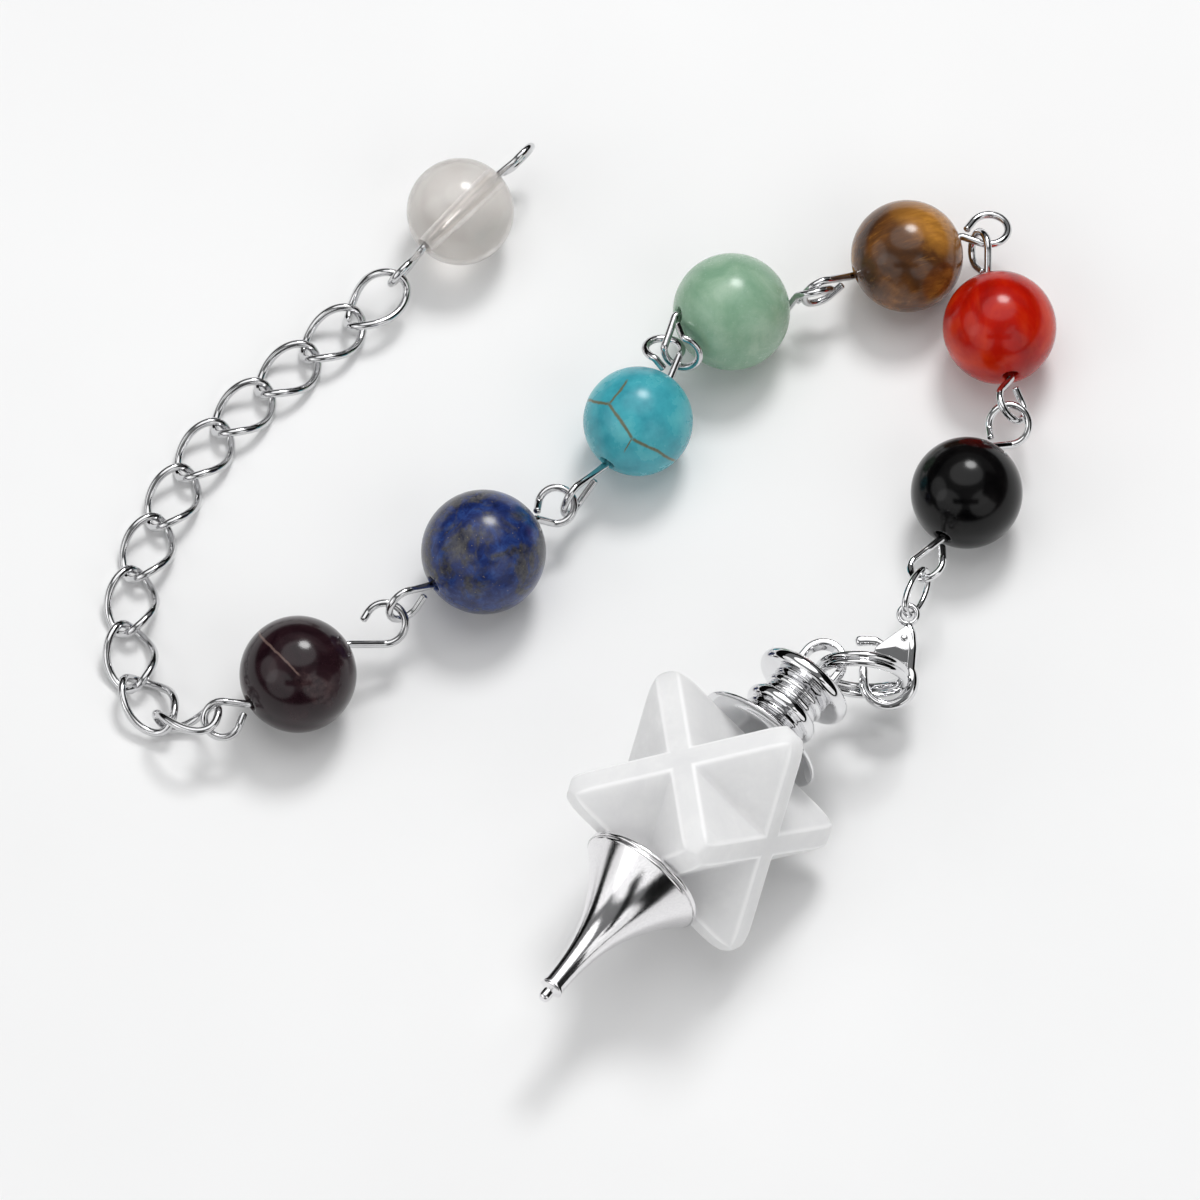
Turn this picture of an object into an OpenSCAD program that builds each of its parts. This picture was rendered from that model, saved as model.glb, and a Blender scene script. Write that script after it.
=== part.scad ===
// Pendulum pendant lying on a flat surface: a turned silver point, a carved white star stone,
// a silver cap, a lobster clasp and a string of eight round beads ending in a curb chain.
// Millimetres, +Z up, the surface is the plane z = 0.

/* [Star stone] */
// Half the width of the star over its rounded tips
star_half = 6.35; // [5:0.05:8]
// Radius of the rounded tips and edges
star_round = 1.0; // [0.6:0.05:1.4]
// Plan direction from the point to the bail, degrees from +X
star_heading = 53.5; // [40:0.5:70]
// How far the star is rolled about the pendulum's axis, degrees
star_roll = 15; // [0:1:30]
// Where the middle of the star lies, along X
star_x = 7.0; // [0:0.1:15]
// Where the middle of the star lies, along Y
star_y = -20.84; // [-30:0.02:-10]
// Diameter of the two pegs that hold the stone
peg_d = 2.1; // [1.6:0.1:2.6]

/* [Silver point] */
// Largest radius of the point, just behind its lip
point_r = 4.66; // [4:0.02:5.2]
// Length of the trumpet curve from the widest place to the collar
point_len = 10.5; // [8:0.1:13]
// How hollow the trumpet curve is
point_power = 2.5; // [1.5:0.1:4]
// Distance from the star's middle to the very end of the tip
tip_end = 18.64; // [16:0.02:21]
// Diameter of the thin tip
tip_d = 0.88; // [0.6:0.02:1.2]

/* [Cap] */
// Outer diameter of the thin dish
dish_d = 9.5; // [8:0.1:11]
// Diameter of the round flange that carries the bail
flange_d = 7.2; // [6:0.1:8]
// Outer width of the bail arch
bail_w = 3.4; // [2.8:0.1:4]
// Thickness of the bail's strip
bail_t = 0.52; // [0.4:0.02:0.8]
// Height of the bail's strip
bail_h = 1.2; // [0.8:0.1:1.6]

/* [Beads] */
// Diameter of the drilled holes
hole_d = 1.1; // [0.8:0.05:1.4]
// Wire diameter of the eye pins
pin_wire = 0.55; // [0.4:0.05:0.7]

/* [Chain] */
// Half length of a curb link's centre line
curb_a = 2.57; // [2.3:0.05:2.8]
// Half width of a curb link's centre line
curb_b = 1.7; // [1.2:0.05:1.9]
// Wire diameter of a curb link
curb_wire = 0.58; // [0.45:0.05:0.7]
// Twist of each end of a curb link, degrees
curb_twist = 48; // [20:1:60]

/* [Jump ring] */
// Radius of the jump ring's centre line
ring_r = 3.03; // [2.6:0.05:3.5]
// Diameter of each of its two wires
ring_wire = 0.58; // [0.4:0.05:0.7]

/* [Clasp] */
// Height of the middle of the clasp's eye
eye_z = 5.54; // [3:0.02:7]
// How far the clasp leans, hook down, degrees
clasp_lean = 19.7; // [5:0.5:30]
// Radial gap between the lever and its pin
lever_gap = 0.05; // [0.02:0.01:0.1]
// Diameter of the lever's pin
lever_pin = 0.5; // [0.4:0.05:0.7]

/* [Hidden] */
$fn = 64;

star_corner = star_half - star_round;
star_at = [star_x, star_y, star_round + star_corner * (cos(star_roll) + sin(star_roll))];
wire_sides = 6;
arc_steps = 16;
link_steps = 20;
star_gap = 0.07;

// Columns: name, x, y, diameter, heading of end A, rise of end A in degrees.
bead_table = [
    ["black", 26.0, 6.5, 7.95, 244, 0],
    ["red", 28.4, 19.8, 8.1, 281, 0],
    ["tiger", 21.85, 25.6, 8.0, 21, 3],
    ["green", 9.35, 21.0, 8.35, 14, -18],
    ["turquoise", 2.7, 12.3, 7.8, 55, 7],
    ["lapis", -8.25, 1.5, 8.85, 36, 0],
    ["amethyst", -21.35, -8.15, 8.3, 34, 0],
    ["clear", -9.95, 29.3, 7.65, 228, 0]
];

// Wire loops at end A of each bead's pin.
// Columns: x, y, z of the middle, radius, lean of the loop's plane, direction its top face leans,
// how far the wire's end comes back towards the stem.
loop_a = [
    [23.1, -0.03, 5.34, 1.25, 25, 154, 0.6],
    [29.25, 13.53, 4.15, 1.3, 48, 10, 0.6],
    [27.7, 27.73, 4.05, 1.35, 10, 90, 0.6],
    [15.13, 22.61, 4.12, 1.3, 60, 103, 0.6],
    [4.52, 17.72, 4.67, 1.3, 26, 85, 0.6],
    [-3.1, 5.69, 3.58, 1.28, 25, 275, 0.6],
    [-15.22, -3.95, 3.9, 1.45, 28, 270, 0.25],
    [-14.05, 24.55, 3.64, 1.2, 75, 138, 0.6]
];

// Wire loops at end B, the same columns.
loop_b = [
    [29.03, 12.04, 3.85, 1.42, 28, 270, 0.6],
    [27.04, 26.06, 4.05, 1.3, 67, 193, 0.6],
    [15.68, 22.79, 3.9, 1.3, 87, 295, 0.6],
    [5.81, 17.13, 5.24, 1.3, 66, 255, 0.6],
    [-1.78, 6.47, 3.25, 1.3, 87, 323, 0.6],
    [-13.81, -2.71, 4.42, 1.3, 77, 303, 0.6],
    [-26.7, -11.58, 3.82, 1.28, 36, 255, 0.6],
    [-5.74, 33.62, 3.83, 1.2, 75, 138, 0.6]
];

// Where neighbouring curb links meet, and the roll of the link that starts there in degrees.
// Columns: x, y, z, roll.
curb_joints = [
    [-14.54, 23.96, 2.83, 0], [-17.52, 21.94, 1.33, 0], [-20.57, 19.24, 1, 0],
    [-23.83, 16.26, 1, 0], [-26.88, 13.07, 0.99, 0], [-29.36, 9.55, 0.99, 0],
    [-31.3, 5.57, 1.03, 0], [-32.9, 1.45, 0.99, 0], [-33.5, -2.91, 1.03, 0],
    [-32.99, -7.26, 1.03, -2], [-30.86, -10.46, 1.5, -47], [-27.39, -11.47, 3.8, 0]
];

// Moves everything so that the origin is the middle of the footprint.
shift = [1.39, 0.58, 0];

module placed() {
    translate(shift) children();
}

function unit(v) = v / norm(v);
function flat_part(v, t) = v - (v * t) * t;
function plane_normal(lean, az) = [sin(lean) * cos(az), sin(lean) * sin(az), cos(lean)];
function heading(az, rise) = [cos(az) * cos(rise), sin(az) * cos(rise), sin(rise)];
function reversed(p) = [for (i = [len(p) - 1:-1:0]) p[i]];

// Direction of an open path at point i.
function path_dir(p, i) = unit(
    (i < len(p) - 1 ? unit(p[i + 1] - p[i]) : [0, 0, 0])
    + (i > 0 ? unit(p[i] - p[i - 1]) : [0, 0, 0])
);

// A direction at right angles to t.
function side_of(t) = unit(abs(t[2]) < 0.9 ? cross([0, 0, 1], t) : cross([1, 0, 0], t));

// A side direction for every point of an open path, carried along without twist.
function carried(t) = [
    for (i = 0, u = side_of(t[0]); i < len(t); i = i + 1, u = i < len(t) ? unit(flat_part(u, t[i])) : u) u
];

// Corner points of the rings of a tube: half width a towards side u, half thickness b across it.
function ring_points(p, t, u, a, b, sides) = [
    for (i = [0:len(p) - 1]) for (j = [0:sides - 1])
        p[i] + a[i] * cos(360 * j / sides) * u[i] + b[i] * sin(360 * j / sides) * cross(t[i], u[i])
];

// Side faces between ring i and the next ring.
function side_faces(rings, sides, closed) = [
    for (i = [0:rings - (closed ? 1 : 2)]) for (j = [0:sides - 1]) for (k = [0, 1])
        let (
            n = (i + 1) % rings,
            m = (j + 1) % sides
        )
        k == 0
            ? [i * sides + j, n * sides + j, n * sides + m]
            : [i * sides + j, n * sides + m, i * sides + m]
];

// Round wire along an open path, with flat ends.
module wire(p, d, sides = wire_sides) {
    t = [for (i = [0:len(p) - 1]) path_dir(p, i)];
    r = [for (q = p) d / 2];
    n = len(p);
    polyhedron(
        ring_points(p, t, carried(t), r, r, sides),
        concat(
            side_faces(n, sides, false),
            [[for (j = [0:sides - 1]) j]],
            [[for (j = [sides - 1:-1:0]) (n - 1) * sides + j]]
        )
    );
}

// Bar along a flat path in the XY plane: half widths a in the plane, half thicknesses b across it.
module flat_wire(p, a, b, sides) {
    t = [for (i = [0:len(p) - 1]) path_dir(p, i)];
    n = len(p);
    polyhedron(
        ring_points(p, t, [for (q = t) cross([0, 0, 1], q)], a, b, sides),
        concat(
            side_faces(n, sides, false),
            [[for (j = [0:sides - 1]) j]],
            [[for (j = [sides - 1:-1:0]) (n - 1) * sides + j]]
        )
    );
}

// Closed link: rounded centre line with half length a, half width b, each end rolled by twist.
module link(at, along, across, a, b, d, twist, steps = link_steps) {
    up = cross(along, across);
    p = [
        for (i = [0:steps - 1])
            let (
                t = 360 * i / steps,
                roll = twist * cos(t),
                w = b * sign(sin(t)) * pow(abs(sin(t)), 0.85)
            )
            at + a * cos(t) * along + w * (cos(roll) * across + sin(roll) * up)
    ];
    n = len(p);
    t = [for (i = [0:n - 1]) unit(p[(i + 1) % n] - p[(i + n - 1) % n])];
    u = [for (i = [0:n - 1]) unit(flat_part(p[i] - at, t[i]))];
    r = [for (q = p) d / 2];
    polyhedron(ring_points(p, t, u, r, r, wire_sides), side_faces(n, wire_sides, true));
}

// Puts a part turned about Z into the pendulum's lying pose, its Z along the pendulum's axis.
module on_axis() {
    translate(star_at) rotate([0, 0, star_heading]) rotate([0, 90, 0]) children();
}

module rounded_tetra(s) {
    c = star_corner;
    hull() {
        for (q = [[1, 1, 1], [1, -1, -1], [-1, 1, -1], [-1, -1, 1]])
            translate([q[0] * c, q[1] * c, q[2] * c * s]) sphere(star_round, $fn = 20);
    }
}

module star() {
    color([0.9, 0.9, 0.89])
    difference() {
        translate(star_at) rotate([0, 0, star_heading]) rotate([-star_roll, 0, 0]) {
            rounded_tetra(1);
            rounded_tetra(-1);
        }
        on_axis() for (s = [0, 180]) rotate([s, 0, 0])
            translate([0, 0, star_half - 2]) cylinder(d = peg_d + 0.1, h = 3, $fn = 32);
    }
}

module cone_point() {
    base = star_half + star_gap;
    widest = 6.9;
    end_r = 0.8;
    curve = [
        for (i = [0:14])
            let (d = point_len * i / 14)
            [end_r + (point_r - end_r) * pow(1 - i / 14, point_power), widest + d]
    ];
    collar = widest + point_len;
    color([0.74, 0.74, 0.76])
    on_axis() rotate([180, 0, 0]) {
        rotate_extrude() polygon(concat(
            [[0, star_half - 1.9], [peg_d / 2, star_half - 1.9], [peg_d / 2, base]],
            [[4.2, base], [4.45, base + 0.08], [4.6, base + 0.25]],
            curve,
            [[0.8, collar + 0.15], [0.62, collar + 0.3], [tip_d / 2, collar + 0.4]],
            [[tip_d / 2, tip_end - 0.28], [0.34, tip_end - 0.08], [0.2, tip_end], [0, tip_end]]
        ));
    }
}

module top_cap() {
    rim = dish_d / 2;
    fr = flange_d / 2;
    leg = (bail_w - bail_t) / 2;
    arch = 16.42 - bail_t / 2 - leg;
    strip = concat(
        [[12.8, -leg, 0]],
        [for (a = [-90:15:90]) [arch + leg * cos(a), leg * sin(a), 0]],
        [[12.8, leg, 0]]
    );
    // Columns: radius, distance from the star's middle.
    profile = [
        [0, 4.45], [peg_d / 2, 4.45], [peg_d / 2, 8.1], [2.2, 7.95], [2.9, 7.72], [3.5, 7.45],
        [4.1, 7.2], [rim - 0.15, 7.04], [rim, 7.1], [rim, 7.22], [4.3, 7.5], [3.7, 7.78],
        [3.1, 8.1], [2.7, 8.42], [2.45, 8.75], [2.45, 9.2], [2.62, 9.32], [2.75, 9.7],
        [2.62, 10.08], [2.2, 10.22], [2.0, 10.4], [2.0, 10.6], [2.16, 10.7], [2.16, 10.85],
        [2.0, 10.95], [2.0, 11.1], [2.25, 11.2], [2.25, 11.42], [2.1, 11.6], [2.6, 11.72],
        [fr - 0.35, 11.9], [fr - 0.06, 12.2], [fr, 12.45], [fr - 0.08, 12.7],
        [fr - 0.4, 12.95], [2.2, 13.05], [0, 13.05]
    ];
    color([0.78, 0.78, 0.8]) {
        on_axis() rotate_extrude() polygon(profile);
        translate(star_at) rotate([0, 0, star_heading]) flat_wire(
            strip,
            [for (q = strip) bail_t / 2],
            [for (q = strip) bail_h / 2],
            8
        );
    }
}

ring_at = [18.47, -9.15, 5.99];
ring_lean = 84;
ring_az = 86;

module jump_ring() {
    color([0.76, 0.76, 0.78])
    translate(ring_at) rotate([0, ring_lean, ring_az]) rotate_extrude()
        for (s = [-1, 1]) translate([ring_r, s * ring_wire * 0.49]) circle(d = ring_wire, $fn = 24);
}

oval_at = [22.39, -2.386, 5.597];
oval_along = unit([0.388, 0.911, -0.136]);
oval_tilt = 64.2;

module oval_link() {
    flat = unit(cross([0, 0, 1], oval_along));
    across = cos(oval_tilt) * flat + sin(oval_tilt) * cross(oval_along, flat);
    color([0.76, 0.76, 0.78])
    link(oval_at, oval_along, across, 1.9, 1.05, 0.5, 0);
}

eye_at = [21.8, ((600 - 614.7) / 14.1 - 0.4695 * eye_z) / 0.883, eye_z];
hook_at = [4.75, -1.45];
hook_r = 1.72;
pivot_at = [1.75, -0.3];

// Clasp frame: X from the eye to the hook, Y to the side away from the lever, Z out of its face.
module in_clasp() {
    translate(eye_at) rotate([clasp_lean, 0, 0]) rotate([0, 0, -90]) children();
}

module clasp_body() {
    // Columns: x, y, half width, half thickness.
    spine = concat(
        [[0.6, 0, 0.2, 0.2], [0.95, 0.06, 0.34, 0.4], [1.5, 0.2, 0.42, 0.6], [2.4, 0.26, 0.44, 0.72]],
        [for (a = [115:-15:-80]) [
            hook_at[0] + hook_r * cos(a),
            hook_at[1] + hook_r * sin(a),
            0.35 + 0.12 * max(0, sin(a)),
            0.38 + 0.3 * max(0, sin(a))
        ]],
        [[4.5, -3.17, 0.34, 0.37], [4.0, -3.19, 0.33, 0.35], [3.6, -3.17, 0.27, 0.3], [3.4, -3.15, 0.15, 0.16]]
    );
    color([0.78, 0.78, 0.8])
    in_clasp() {
        difference() {
            union() {
                flat_wire([for (q = spine) [q[0], q[1], 0]], [for (q = spine) q[2]], [for (q = spine) q[3]], 12);
                translate([0, 0, -0.62]) linear_extrude(1.24) polygon([
                    [0.85, -0.1], [1.0, -0.42], [2.35, -2.3], [2.6, -2.42], [2.8, -2.25],
                    [3.5, -0.5], [3.6, 0.1], [3.0, 0.5], [1.2, 0.3]
                ]);
            }
            translate([0, 0, -0.4]) linear_extrude(0.8) polygon([
                [0.8, -0.9], [0.95, 0.05], [1.4, 0.27], [2.1, 0.27], [3.1, -0.2], [4.2, -1.6], [4.2, -2.6], [1.5, -2.7]
            ]);
        }
        translate([pivot_at[0], pivot_at[1], -0.55]) cylinder(d = lever_pin, h = 1.1, $fn = 32);
        rotate_extrude() translate([0.65, 0]) circle(d = 0.42, $fn = 20);
    }
}

// Outline round the pin, down the tab, along the bar to the nose and back, from the pin's middle.
module clasp_lever() {
    outline = concat(
        [for (a = [-20:20:200]) [0.5 * cos(a), 0.5 * sin(a)]],
        [[0.1, -1.2], [-0.22, -2.4], [-0.2, -3.45], [0.5, -3.4], [0.42, -2.5], [0.62, -1.95]],
        [for (a = [225:25:400]) [1.3 + 0.26 * cos(a), -2.22 + 0.26 * sin(a)]]
    );
    color([0.78, 0.78, 0.8])
    in_clasp() translate([pivot_at[0], pivot_at[1], 0]) difference() {
        translate([0, 0, -0.34]) linear_extrude(0.68) polygon(outline);
        cylinder(d = lever_pin + 2 * lever_gap, h = 2, center = true, $fn = 40);
    }
}

function bead_row(name) = [for (i = [0:len(bead_table) - 1]) if (bead_table[i][0] == name) i][0];
function bead_at(b) = [b[1], b[2], b[3] / 2];

module bead(name, c) {
    b = bead_table[bead_row(name)];
    color(c)
    translate(bead_at(b)) rotate([0, 90 - b[5], b[4]]) difference() {
        sphere(d = b[3]);
        cylinder(d = hole_d, h = b[3] + 2, center = true, $fn = 32);
    }
}

// Wire from the bead's hole at e round a loop, ending just short of the stem.
function loop_path(e, row) =
    let (
        q = [row[0], row[1], row[2]],
        n = plane_normal(row[4], row[5]),
        g = flat_part(e - q, n),
        u = unit(g),
        v = cross(n, u),
        start = acos(row[3] / norm(g)),
        round = [
            for (i = [0:arc_steps])
                let (a = start + (360 - 2 * start) * i / arc_steps)
                q + row[3] * (u * cos(a) + v * sin(a))
        ],
        last = round[arc_steps]
    )
    concat(round, [last + row[6] * (e - last)]);

function pin_path(i) =
    let (
        b = bead_table[i],
        d = heading(b[4], b[5]) * (b[3] / 2 + 0.15),
        ea = bead_at(b) + d,
        eb = bead_at(b) - d
    )
    concat(reversed(loop_path(ea, loop_a[i])), [ea, eb], loop_path(eb, loop_b[i]));

module pin(name) {
    color([0.76, 0.76, 0.78]) wire(pin_path(bead_row(name)), pin_wire);
}

module curb(i) {
    row = curb_joints[i];
    next = curb_joints[i + 1];
    a = [row[0], row[1], row[2]];
    b = [next[0], next[1], next[2]];
    along = unit(b - a);
    flat = unit(cross([0, 0, 1], along));
    across = cos(row[3]) * flat + sin(row[3]) * cross(along, flat);
    color([0.74, 0.74, 0.76])
    link((a + b) / 2, along, across, curb_a, curb_b, curb_wire, curb_twist);
}

placed() cone_point();
placed() star();
placed() top_cap();
placed() jump_ring();
placed() clasp_body();
placed() clasp_lever();
placed() oval_link();
placed() bead("black", [0.07, 0.07, 0.08]);  // bead_black
placed() bead("red", [0.75, 0.22, 0.16]);  // bead_red
placed() bead("tiger", [0.5, 0.32, 0.12]);  // bead_tiger
placed() bead("green", [0.55, 0.68, 0.56]);  // bead_green
placed() bead("turquoise", [0.3, 0.66, 0.66]);  // bead_turquoise
placed() bead("lapis", [0.1, 0.14, 0.4]);  // bead_lapis
placed() bead("amethyst", [0.2, 0.1, 0.16]);  // bead_amethyst
placed() bead("clear", [0.85, 0.8, 0.8]);  // bead_clear
placed() pin("black");  // pin_black
placed() pin("red");  // pin_red
placed() pin("tiger");  // pin_tiger
placed() pin("green");  // pin_green
placed() pin("turquoise");  // pin_turquoise
placed() pin("lapis");  // pin_lapis
placed() pin("amethyst");  // pin_amethyst
placed() pin("clear");  // pin_clear
placed() curb(0);  // curb_01
placed() curb(1);  // curb_02
placed() curb(2);  // curb_03
placed() curb(3);  // curb_04
placed() curb(4);  // curb_05
placed() curb(5);  // curb_06
placed() curb(6);  // curb_07
placed() curb(7);  // curb_08
placed() curb(8);  // curb_09
placed() curb(9);  // curb_10
placed() curb(10);  // curb_11
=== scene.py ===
import math

import bpy
import numpy as np
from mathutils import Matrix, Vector


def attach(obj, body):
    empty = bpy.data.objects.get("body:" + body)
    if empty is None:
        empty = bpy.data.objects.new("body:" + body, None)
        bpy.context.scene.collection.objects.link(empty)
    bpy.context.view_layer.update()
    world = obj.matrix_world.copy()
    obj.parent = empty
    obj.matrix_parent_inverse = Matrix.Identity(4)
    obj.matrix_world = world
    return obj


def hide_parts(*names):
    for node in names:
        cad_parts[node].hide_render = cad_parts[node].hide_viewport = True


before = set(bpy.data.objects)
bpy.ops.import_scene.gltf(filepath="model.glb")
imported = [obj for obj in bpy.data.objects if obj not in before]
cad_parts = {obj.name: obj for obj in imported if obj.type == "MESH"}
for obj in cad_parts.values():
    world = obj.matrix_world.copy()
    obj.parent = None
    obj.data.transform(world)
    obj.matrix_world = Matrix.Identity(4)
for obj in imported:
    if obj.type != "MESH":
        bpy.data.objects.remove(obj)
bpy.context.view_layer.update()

# Lengths are millimetres until a mesh is made, in the part's own axes. SHIFT is added last, and
# puts the middle of the whole part's box at the origin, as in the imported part.
SHIFT = np.array([1.39, 0.58, 0.0])
MM = 0.001

# The picture is seen from 62 degrees above the floor, and 14.1 of its 1200 pixels are 1 mm.
VIEW_RISE = 62
PX_PER_MM = 14.1
FRAME_PX = 1200

# The star rests on two tips: each is a ball of radius 1 whose middle is 5.35 from each of the
# star's three middle planes. The heading is the pendulum's, in plan.
HEADING = math.radians(53.5)
STAR_ROLL = math.radians(15)
STAR_AT = np.array([7.0, -20.84, 1.0 + 5.35 * (math.cos(STAR_ROLL) + math.sin(STAR_ROLL))])
# Turn of a finish whose own Z runs along the pendulum's axis.
AXIS_TURN = (0.0, math.radians(90), HEADING)

# Columns: x, y, diameter, heading of end A, rise of end A, as in the part's own table.
BEADS = {
    "black": (26.0, 6.5, 7.95, 244, 0),
    "red": (28.4, 19.8, 8.1, 281, 0),
    "tiger": (21.85, 25.6, 8.0, 21, 3),
    "green": (9.35, 21.0, 8.35, 14, -18),
    "turquoise": (2.7, 12.3, 7.8, 55, 7),
    "lapis": (-8.25, 1.5, 8.85, 36, 0),
    "amethyst": (-21.35, -8.15, 8.3, 34, 0),
    "clear": (-9.95, 29.3, 7.65, 228, 0),
}
# Columns: x, y, z, radius, lean, direction of the lean, share of the way back to the stem.
LOOP_A = {
    "black": (23.1, -0.03, 5.34, 1.25, 25, 154, 0.6),
    "red": (29.25, 13.53, 4.15, 1.3, 48, 10, 0.6),
    "tiger": (27.7, 27.73, 4.05, 1.35, 10, 90, 0.6),
    "green": (15.13, 22.61, 4.12, 1.3, 60, 103, 0.6),
    "turquoise": (4.52, 17.72, 4.67, 1.3, 26, 85, 0.6),
    "lapis": (-3.1, 5.69, 3.58, 1.28, 25, 275, 0.6),
    "amethyst": (-15.22, -3.95, 3.9, 1.45, 28, 270, 0.25),
    "clear": (-14.05, 24.55, 3.64, 1.2, 75, 138, 0.6),
}
LOOP_B = {
    "black": (29.03, 12.04, 3.85, 1.42, 28, 270, 0.6),
    "red": (27.04, 26.06, 4.05, 1.3, 67, 193, 0.6),
    "tiger": (15.68, 22.79, 3.9, 1.3, 87, 295, 0.6),
    "green": (5.81, 17.13, 5.24, 1.3, 66, 255, 0.6),
    "turquoise": (-1.78, 6.47, 3.25, 1.3, 87, 323, 0.6),
    "lapis": (-13.81, -2.71, 4.42, 1.3, 77, 303, 0.6),
    "amethyst": (-26.7, -11.58, 3.82, 1.28, 36, 255, 0.6),
    "clear": (-5.74, 33.62, 3.83, 1.2, 75, 138, 0.6),
}
PIN_WIRE = 0.55
# Where neighbouring curb links meet. Columns: x, y, z, roll of the link that starts there.
CURB_JOINTS = np.array([
    (-14.54, 23.96, 2.83, 0), (-17.52, 21.94, 1.33, 0), (-20.57, 19.24, 1, 0),
    (-23.83, 16.26, 1, 0), (-26.88, 13.07, 0.99, 0), (-29.36, 9.55, 0.99, 0),
    (-31.3, 5.57, 1.03, 0), (-32.9, 1.45, 0.99, 0), (-33.5, -2.91, 1.03, 0),
    (-32.99, -7.26, 1.03, -2), (-30.86, -10.46, 1.5, -47), (-27.39, -11.47, 3.8, 0),
])
# The clasp's eye shows 14.7 px below the picture's middle. A length along +Y shows as 0.883 of
# itself there and a length along +Z as 0.4695, so its y follows from its height.
EYE_HEIGHT = 5.54
EYE_AT = np.array([21.8, (-14.7 / PX_PER_MM - 0.4695 * EYE_HEIGHT) / 0.883, EYE_HEIGHT])
CLASP_LEAN = math.radians(19.7)
# The lever's pin, in the clasp's own axes.
LEVER_PIN = np.array([1.75, -0.3, 0])


# Numbers in space

def unit(v):
    """Every row divided by its own length."""
    return v / np.linalg.norm(v, axis=-1, keepdims=True)


def polar(lean, turn):
    """Direction that leans from +Z by lean degrees towards the plan direction turn."""
    a, b = math.radians(lean), math.radians(turn)
    return np.array([math.sin(a) * math.cos(b), math.sin(a) * math.sin(b), math.cos(a)])


def in_plan(q, angle):
    """Points turned about +Z by angle."""
    c, s = math.cos(angle), math.sin(angle)
    return np.stack([c * q[..., 0] - s * q[..., 1], s * q[..., 0] + c * q[..., 1], q[..., 2]], -1)


def on_axis(p):
    """Local (x, y, z) becomes (z, y, -x), turned in plan by the heading and moved to the star."""
    q = np.stack([p[..., 2], p[..., 1], -p[..., 0]], -1)
    return STAR_AT + in_plan(q, HEADING)


def in_clasp(p):
    """Clasp's own X from eye to hook: a quarter turn back in plan, then leaned about X at the
    eye."""
    q = in_plan(p, -math.pi / 2)
    c, s = math.cos(CLASP_LEAN), math.sin(CLASP_LEAN)
    y, z = q[..., 1], q[..., 2]
    return EYE_AT + np.stack([q[..., 0], c * y - s * z, s * y + c * z], -1)


# Surfaces: each is a grid of points and whether its rows close on themselves

def ring(a, b, sides, power=2.0):
    """Closed superellipse: x = a cos^(2/power), y = b sin^(2/power), signs kept."""
    t = 2 * np.pi * np.arange(sides) / sides
    c, s = np.cos(t), np.sin(t)
    e = 2 / power
    return np.stack([a * np.sign(c) * abs(c) ** e, b * np.sign(s) * abs(s) ** e], 1)


def carried(path, side, section, scale=None, closed=False):
    """Section carried along a path: path + section_x * side + section_y * (tangent x side), with
    the two parts of the section multiplied by the two columns of scale."""
    p = np.asarray(path, float)
    t = np.roll(p, -1, 0) - np.roll(p, 1, 0) if closed else np.gradient(p, axis=0)
    t = unit(t)
    u = np.broadcast_to(np.asarray(side, float), p.shape)
    u = unit(u - (u * t).sum(1, keepdims=True) * t)
    v = np.cross(t, u)
    k = np.ones((len(p), 2)) if scale is None else np.asarray(scale, float)
    x = section[None, :, 0, None] * k[:, 0, None, None] * u[:, None]
    y = section[None, :, 1, None] * k[:, 1, None, None] * v[:, None]
    return p[:, None] + x + y, closed


def spun(profile, steps, closed=False):
    """Profile (radius, height) turned about Z: (r cos t, r sin t, h)."""
    t = 2 * np.pi * np.arange(steps) / steps
    r, h = np.asarray(profile, float).T
    flat = np.stack([np.outer(r, np.cos(t)), np.outer(r, np.sin(t))], -1)
    return np.concatenate([flat, np.repeat(h[:, None, None], steps, 1)], -1), closed


def softened(line, times=2, closed=False):
    """Corner cutting: each stretch keeps its points at 1/4 and 3/4, and an open line keeps its
    ends."""
    p = np.asarray(line, float)
    for _ in range(times):
        q = np.roll(p, -1, 0) if closed else p[1:]
        a = p if closed else p[:-1]
        cut = np.stack([0.75 * a + 0.25 * q, 0.25 * a + 0.75 * q], 1).reshape(-1, p.shape[1])
        p = cut if closed else np.vstack([p[:1], cut, p[-1:]])
    return p


def even(path, step, blur=0.0):
    """The path at even steps of its own length, each point then averaged over a window of blur.
    Length is measured on the first three columns, and the others go along."""
    p = np.asarray(path, float)
    s = np.concatenate([[0], np.cumsum(np.linalg.norm(np.diff(p[:, :3], axis=0), axis=1))])
    n = max(int(round(s[-1] / step)), 2) + 1
    q = np.stack([np.interp(np.linspace(0, s[-1], n), s, c) for c in p.T], 1)
    w = int(round(blur / step)) // 2
    if w:
        k = np.ones(2 * w + 1) / (2 * w + 1)
        ends = np.vstack([2 * q[:1] - q[w:0:-1], q, 2 * q[-1:] - q[-2:-w - 2:-1]])
        q = np.stack([np.convolve(c, k, "valid") for c in ends.T], 1)
    return q


def plate(outline, low, high, edge):
    """Outline raised from low to high, and drawn in towards its middle along a quarter circle of
    radius edge at both faces: height low + edge (1 - sin a), inset edge (1 - cos a)."""
    o = np.asarray(outline, float)
    a = np.linspace(0, np.pi / 2, 5)
    up, down = a, a[::-1]
    z = np.concatenate([low + edge * (1 - np.sin(down)), high - edge * (1 - np.sin(up))])
    inset = edge * (1 - np.cos(np.concatenate([down, up])))
    flat = o[None] - inset[:, None, None] * unit(o - o.mean(0))[None]
    return np.concatenate([flat, np.repeat(z[:, None, None], len(o), 1)], -1)


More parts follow.
